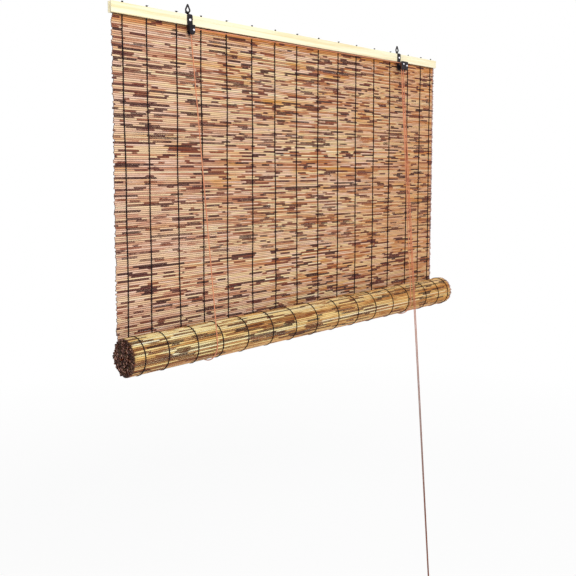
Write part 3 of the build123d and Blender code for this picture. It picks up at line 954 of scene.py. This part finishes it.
@dataclass
class Hangers:
    """The folded straps, wire eyes, rivets, sheaves and the locking cam."""

    finishes: Finishes
    hanger_x: float = 0.334
    strap_half: float = 0.0065
    strap_top: float = -0.0185
    corner_radius: float = 0.0042
    wire_radius: float = 0.00160
    eye_half: tuple[tuple[float, float], ...] = (
        (0.0, 0.00012), (0.00090, -0.0012), (0.0024, -0.0044), (0.0041, -0.0078),
        (0.0048, -0.0102), (0.0040, -0.0124), (0.0020, -0.0138), (0.0, -0.0143),
    )
    neck_radius: float = 0.0019
    neck_top: float = -0.0136
    neck_height: float = 0.0034
    neck_turns: float = 2.6

    def build(self) -> list[Piece]:
        """Dresses the metalwork.

        Returns:
            The pieces.
        """
        pieces = []
        for name, x in (("left", -self.hanger_x), ("right", self.hanger_x)):
            corners = [(x + side * self.strap_half, self.strap_top, side, self.corner_radius) for side in (-1.0, 1.0)]
            pieces.append(rounded_copy(f"hanger_{name}", self.finishes.enamel, 0.00022,
                                       corners=corners))
            pieces.append(self.eye(name, x))
        for node in ("strap_rivet_left", "strap_rivet_right", "sheave_axle_left", "sheave_axle_right", "cam_pivot"):
            pieces.append(rounded_copy(node, self.finishes.rivet, 0.0001))
        for node, body in (("sheave_left", "wheel_left"), ("sheave_right_rear", "wheel_right_rear"),
                           ("sheave_right_front", "wheel_right_front"), ("locking_cam", "cam")):
            pieces.append(rounded_copy(node, self.finishes.wheel, 0.0001, body))
        return pieces

    def eye(self, name: str, x: float) -> Piece:
        """Bends one pointed wire eye with its wound neck and turned-out tail.

        Args:
            name: Left or right.
            x: Where it stands along the blind.

        Returns:
            The piece.
        """
        outline = list(self.eye_half) + [(-a, b) for a, b in reversed(self.eye_half[1:-1])]
        line = []
        count = len(outline)
        for index in range(count + 1):
            before, start, end, after = (np.array(outline[(index + step) % count]) for step in (-1, 0, 1, 2))
            for share in (0.0, 0.25, 0.5, 0.75):
                across, up = 0.5 * (2 * start + (end - before) * share
                                    + (2 * before - 5 * start + 4 * end - after) * share**2
                                    + (3 * start - before - 3 * end + after) * share**3)
                line.append((x + across, 0.0, up))
        buffer = MeshBuffer()
        buffer.grid(sweep_rings(np.array(line), round_section(self.wire_radius, 10)))
        turn = np.linspace(0.0, self.neck_turns * math.tau, 60)
        neck = np.stack([x + self.neck_radius * np.cos(turn), self.neck_radius * np.sin(turn),
                         self.neck_top - self.neck_height * turn / turn[-1]], axis=1)
        buffer.grid(sweep_rings(neck, round_section(0.00135, 8)))
        drop = np.linspace(0.0, 1.0, 9)
        peg = np.stack([np.full(9, x), np.zeros(9), -0.0142 - 0.0050 * drop], axis=1)
        buffer.grid(sweep_rings(peg, round_section(0.0014, 10), 1 + 0.5 * drop**4))
        tail = np.stack([x - 0.0082 * drop, -0.0012 - 0.0030 * drop, -0.0150 - 0.0012 * drop**2], axis=1)
        swell = 1.0 + 0.60 * np.exp(-((drop - 0.88) / 0.14) ** 2)
        rings = sweep_rings(tail, round_section(0.00130, 8), swell)
        buffer.grid(rings)
        buffer.disc(rings[-1], None, True)
        piece = buffer.build(f"eye_{name}_wire", self.finishes.enamel, "dark_metal")
        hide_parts(f"eye_{name}")
        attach(piece, "head")
        return piece


@dataclass
class Rope:
    """A three-strand laid cord."""

    material: Material
    radius: float = 0.0012
    strand_share: float = 0.53
    lay_length: float = 0.0075
    points_per_turn: int = 7
    resolution: int = 1000

    def route(self, name: str, points: Route) -> np.ndarray:
        """Reads the smooth line through a route.

        Args:
            name: A name for the route.
            points: The route's points.

        Returns:
            The line's points, close together.
        """
        curve = bpy.data.curves.new(name, "CURVE")
        curve.dimensions = "3D"
        spline = curve.splines.new("NURBS")
        spline.points.add(len(points) - 1)
        for control, point in zip(spline.points, points):
            control.co = (*point, 1.0)
        spline.order_u = 3
        spline.use_endpoint_u = True
        curve.resolution_u = self.resolution
        holder = linked(name, curve)
        bpy.context.view_layer.update()
        mesh = bpy.data.meshes.new_from_object(holder)
        read = np.array([vertex.co for vertex in mesh.vertices], float).reshape(-1, 3)
        bpy.data.objects.remove(holder)
        bpy.data.curves.remove(curve)
        bpy.data.meshes.remove(mesh)
        spacing = self.lay_length / self.points_per_turn
        line = [read[0]]
        for point in read[1:-1]:
            if min(np.linalg.norm(point - line[-1]), 2 * np.linalg.norm(point - read[-1])) >= spacing:
                line.append(point)
        return np.array(line + [read[-1]])

    def lay(self, name: str, line: np.ndarray) -> Piece:
        """Lays three strands round a line.

        Args:
            name: The piece's name.
            line: The line's points.

        Returns:
            The piece.
        """
        buffer = MeshBuffer()
        run = np.concatenate([[0.0], np.cumsum(np.linalg.norm(np.diff(line, axis=0), axis=1))])
        frames = sweep_rings(line, np.array(((1.0, 0.0), (0.0, 1.0))))
        side = frames[:, 0] - line
        up = frames[:, 1] - line
        strand = self.radius * self.strand_share
        for which in range(3):
            turn = run / self.lay_length * math.tau + which * math.tau / 3
            offset = (self.radius - strand) * (np.cos(turn)[:, None] * side + np.sin(turn)[:, None] * up)
            buffer.tube(line + offset, round_section(strand, 6))
        return buffer.build(name, self.material, "cord")


@dataclass
class LiftCords:
    """The cords that carry the roll, and the run that crosses to the right.

    Each run has its CAD node, the body that carries it and its route. A run with no body is left without a parent,
    its placement baked into its mesh.
    """

    finishes: Finishes
    runs: tuple[tuple[str, Optional[str], Route], ...] = (
        ("lift_cord_left_front", None, ((-0.3290, -0.0757, -0.6521), (-0.3291, -0.0742, -0.6382),
                                        (-0.3347, -0.0115, -0.0634), (-0.3348, -0.0099, -0.0495))),
        ("lift_cord_right_front", None, ((0.3060, -0.0758, -0.6525), (0.3066, -0.0744, -0.6386),
                                         (0.3321, -0.0164, -0.0607), (0.3327, -0.0150, -0.0468))),
        ("lift_cord_left_back", None, ((-0.3348, 0.0072, -0.0433), (-0.3348, 0.0030, -0.0433),
                                       (-0.3348, 0.0030, -0.0475), (-0.3347, 0.0030, -0.0575),
                                       (-0.3290, 0.0030, -0.6564))),
        ("lift_cord_right_back", None, ((0.3310, 0.0072, -0.0433), (0.3310, 0.0030, -0.0433),
                                        (0.3308, 0.0030, -0.0475), (0.3304, 0.0030, -0.0575),
                                        (0.3060, 0.0030, -0.6564))),
        ("lift_cord_left_bight", "cradle", ((-0.3290, 0.0030, -0.6567), (-0.3290, 0.0030, -0.6737),
                                            (-0.3290, -0.0216, -0.6970), (-0.3290, -0.0555, -0.6953),
                                            (-0.3290, -0.0776, -0.6695), (-0.3290, -0.0758, -0.6524))),
        ("lift_cord_right_bight", "cradle", ((0.3060, 0.0030, -0.6567), (0.3060, 0.0030, -0.6737),
                                             (0.3060, -0.0216, -0.6970), (0.3060, -0.0555, -0.6953),
                                             (0.3060, -0.0776, -0.6695), (0.3060, -0.0758, -0.6528))),
        ("transfer_cord", "head", ((-0.33480, -0.0099, -0.04920), (-0.33480, -0.0099, -0.04763),
                                   (-0.33257, -0.0099, -0.04540), (-0.32943, -0.0099, -0.04540),
                                   (0.33493, -0.0099, -0.04270), (0.33807, -0.0099, -0.04270),
                                   (0.34030, -0.0099, -0.04493), (0.34030, -0.0099, -0.04650))),
        ("lift_cord_right_wrap", "head", ((0.33270, -0.0150, -0.04650), (0.33270, -0.0150, -0.04493),
                                          (0.33493, -0.0150, -0.04270), (0.33807, -0.0150, -0.04270),
                                          (0.34030, -0.0150, -0.04493), (0.34030, -0.0150, -0.04650))),
    )

    def build(self) -> list[Piece]:
        """Builds the lift cords.

        Returns:
            Their pieces.
        """
        rope = Rope(self.finishes.cord)
        pieces = []
        for node, body, points in self.runs:
            piece = rope.lay(f"{node}_rope", rope.route(node, points))
            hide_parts(node)
            if body is None:
                stretch_with_roll(piece)
            else:
                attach(piece, body)
            pieces.append(piece)
        return pieces + [self.anchor(side) for side in ("left", "right")]

    def anchor(self, side: str) -> Piece:
        """Ties the knot behind the strap that holds the cord's fixed end.

        Args:
            side: Left or right.

        Returns:
            The piece.
        """
        node = f"anchor_knot_{side}"
        low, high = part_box(node)
        middle = (low + high) / 2
        turn = np.linspace(0, 1.7 * math.tau, 60)
        line = np.stack([middle.x + 0.0014 * np.cos(turn), low.y + 0.0007 + 0.0013 * turn / turn[-1],
                         middle.z + 0.0014 * np.sin(turn)], axis=1)
        buffer = MeshBuffer()
        buffer.tube(line, round_section(0.00105, 7))
        piece = buffer.build(f"{node}_tied", self.finishes.cord, "cord")
        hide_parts(node)
        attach(piece, "head")
        return piece


@dataclass
class PullCords:
    """The two hanging pull cords and the knot that joins them."""

    finishes: Finishes
    knot_place: Place = (0.2849, -0.1597, -1.3755)
    lean_left: float = 0.0405
    lean_forward: float = 0.1089
    coil_radius: float = 0.0030
    coil_height: float = 0.0118
    coil_turns: float = 3.6
    tail_length: float = 0.0222
    routes: tuple[tuple[str, float, Route], ...] = (
        ("front", 1.337, ((0.3403, -0.0150, -0.0468), (0.3396, -0.0165, -0.0611), (0.3158, -0.0807, -0.6500),
                          (0.2870, -0.1581, -1.3612), (0.2864, -0.1597, -1.3752))),
        ("rear", 1.338, ((0.3403, -0.0099, -0.0468), (0.3396, -0.0115, -0.0611), (0.3145, -0.0779, -0.6500),
                         (0.2840, -0.1581, -1.3612), (0.2834, -0.1597, -1.3752))),
    )

    def build(self) -> list[Piece]:
        """Builds the pull cords and their knot.

        Returns:
            Their pieces.
        """
        rope = Rope(self.finishes.pull)
        knot = self.knot()
        pieces = []
        for name, length, points in self.routes:
            line = rope.route(f"pull_{name}_route", points)
            piece = rope.lay(f"pull_cord_{name}_rope", line)
            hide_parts(f"pull_cord_{name}")
            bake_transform(piece)
            pieces.append(piece)
        return pieces + [knot]

    def knot(self) -> Piece:
        """Ties the knot with its two tails.

        Returns:
            The piece.
        """
        down = Vector((-self.lean_left, -self.lean_forward, -1.0)).normalized()
        side = Vector((1.0, 0.0, 0.0))
        side = (side - down * side.dot(down)).normalized()
        forward = down.cross(side)
        top = Vector(self.knot_place)
        buffer = MeshBuffer()

        def tube(line: list[Vector], radius: float, grow: Optional[np.ndarray] = None) -> None:
            """Adds one round length of cord."""
            buffer.tube(np.array([tuple(point) for point in line]), round_section(radius, 9), grow)

        coil = []
        for step in np.linspace(0.0, 1.0, 110):
            turn = step * self.coil_turns * math.tau
            wide = self.coil_radius + 0.0007 * math.sin(math.pi * step)
            coil.append(top + down * (0.0014 + self.coil_height * step) + side * wide * math.cos(turn)
                        + forward * wide * math.sin(turn))
        tube(coil, 0.00150)
        for which in (-1, 1):
            tube([top + side * which * 0.0012 + down * depth for depth in np.linspace(0.0, 0.0150, 8)], 0.0013)
            tail = []
            for share in np.linspace(0, 1, 14):
                spread = which * (0.0015 + 0.0003 * share * share)
                tail.append(top + down * (0.0145 + self.tail_length * share) + side * spread
                            + forward * 0.0004 * math.sin(share * 4 + which))
            fray = np.concatenate([np.ones(10), (1.0, 1.05, 1.12, 1.18)])
            tube(tail, 0.00118, fray)
        piece = buffer.build("pull_knot_tied", self.finishes.pull, "cord")
        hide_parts("pull_knot")
        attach(piece, "pull")
        return piece


@dataclass(frozen=True)
class Lamp:
    """A square soft lamp."""

    name: str
    place: Place
    aim: Place
    size: float
    power: float


@dataclass
class Studio:
    """The camera, the pale floor and the soft light."""

    camera_place: Place = (-1.1554, -1.1235, -0.3159)
    yaw: float = 44.196
    pitch: float = 5.120
    roll: float = 0.057
    lens: float = 43.344
    shift: float = -0.10
    floor_size: float = 60.0
    floor_drop: float = 0.25
    glow_fade: tuple[float, float] = (1.6, 3.2)
    glow_near: float = 0.90
    world_level: float = 0.55
    lamps: tuple[Lamp, ...] = (
        Lamp("key", (-1.4, -2.6, 1.2), (0.0, 0.0, -0.4), 1.6, 62.0),
        Lamp("fill", (2.2, -2.2, 0.2), (0.0, 0.0, -0.5), 2.2, 16.0),
    )

    def build(self) -> None:
        """Sets up the whole studio."""
        self.camera()
        self.floor()
        self.lights()
        self.world()
        bpy.context.scene.view_settings.view_transform = "Standard"

    def camera(self) -> None:
        """Places the camera at the photograph's viewing angle."""
        data = bpy.data.cameras.new("camera")
        data.lens = self.lens
        data.sensor_width = 36.0
        data.shift_y = self.shift
        data.clip_start = 0.01
        camera = linked("camera", data)
        camera.location = self.camera_place
        camera.rotation_mode = "XYZ"
        camera.rotation_euler = (math.radians(90 - self.pitch), math.radians(self.roll), math.radians(-self.yaw))
        bpy.context.scene.camera = camera

    def floor(self) -> None:
        """Lays the floor well below the blind."""
        bpy.ops.mesh.primitive_plane_add(size=self.floor_size,
                                         location=(0.0, 0.0, SIZES.lowest_point - self.floor_drop))
        floor = bpy.context.active_object
        floor.name = "floor"
        shader = Shader("pale_floor")
        path = shader.add("LightPath")
        shown = shader.math("ADD", path.outputs["Is Camera Ray"], path.outputs["Is Glossy Ray"], True)
        away = shader.add("VectorMath", {0: shader.place}, operation="LENGTH").outputs["Value"]
        start, end = self.glow_fade
        fade = {"Value": away, "From Min": start, "From Max": end, "To Min": self.glow_near}
        share = shader.add("MapRange", fade).outputs[0]
        shader.finish(paint((250, 250, 250)), 0.9, 0.5)
        glow = shader.add("Emission", {"Color": (1.0, 1.0, 1.0, 1.0), "Strength": 1.0})
        both = shader.add("MixShader", {0: shader.times(shown, share), 1: shader.surface.outputs[0],
                                        2: glow.outputs[0]})
        shader.set(shader.tree.nodes["Material Output"], "Surface", both.outputs[0])
        floor.data.materials.append(shader.material)

    def lights(self) -> None:
        """Hangs the lamps."""
        for lamp in self.lamps:
            data = bpy.data.lights.new(lamp.name, "AREA")
            data.shape = "SQUARE"
            data.size = lamp.size
            data.energy = lamp.power
            hung = linked(lamp.name, data)
            hung.location = lamp.place
            hung.rotation_euler = (Vector(lamp.aim) - Vector(lamp.place)).to_track_quat("-Z", "Y").to_euler()

    def world(self) -> None:
        """Surrounds the blind with plain white that the camera sees at full strength."""
        world = bpy.data.worlds.new("studio_white")
        bpy.context.scene.world = world
        world.use_nodes = True
        tree = world.node_tree
        background = tree.nodes["Background"]
        background.inputs["Color"].default_value = (1.0, 1.0, 1.0, 1.0)
        path = tree.nodes.new("ShaderNodeLightPath")
        total = path.outputs["Is Camera Ray"]
        for ray in ("Is Glossy Ray", "Is Transmission Ray"):
            adder = tree.nodes.new("ShaderNodeMath")
            adder.use_clamp = True
            tree.links.new(total, adder.inputs[0])
            tree.links.new(path.outputs[ray], adder.inputs[1])
            total = adder.outputs[0]
        level = tree.nodes.new("ShaderNodeMapRange")
        level.inputs["To Min"].default_value = self.world_level
        tree.links.new(total, level.inputs["Value"])
        tree.links.new(level.outputs[0], background.inputs["Strength"])


def main() -> None:
    """Builds the studio and every sub-assembly, and reports each piece."""
    logging.basicConfig(level=logging.INFO, format="%(message)s")
    Studio().build()
    finishes = Finishes()
    assemblies = (
        PullCords(finishes), LiftCords(finishes), ReedMat(finishes), WarpThreads(finishes, Side.FRONT),
        WarpThreads(finishes, Side.BACK), ReedRoll(finishes), HeadRail(finishes), Hangers(finishes),
    )
    for assembly in assemblies:
        for piece in assembly.build():
            triangles = sum(len(face.vertices) - 2 for face in piece.data.polygons)
            LOG.info("%s: %s, %d triangles", type(assembly).__name__, piece.name, triangles)


if __name__ == "__main__":
    main()
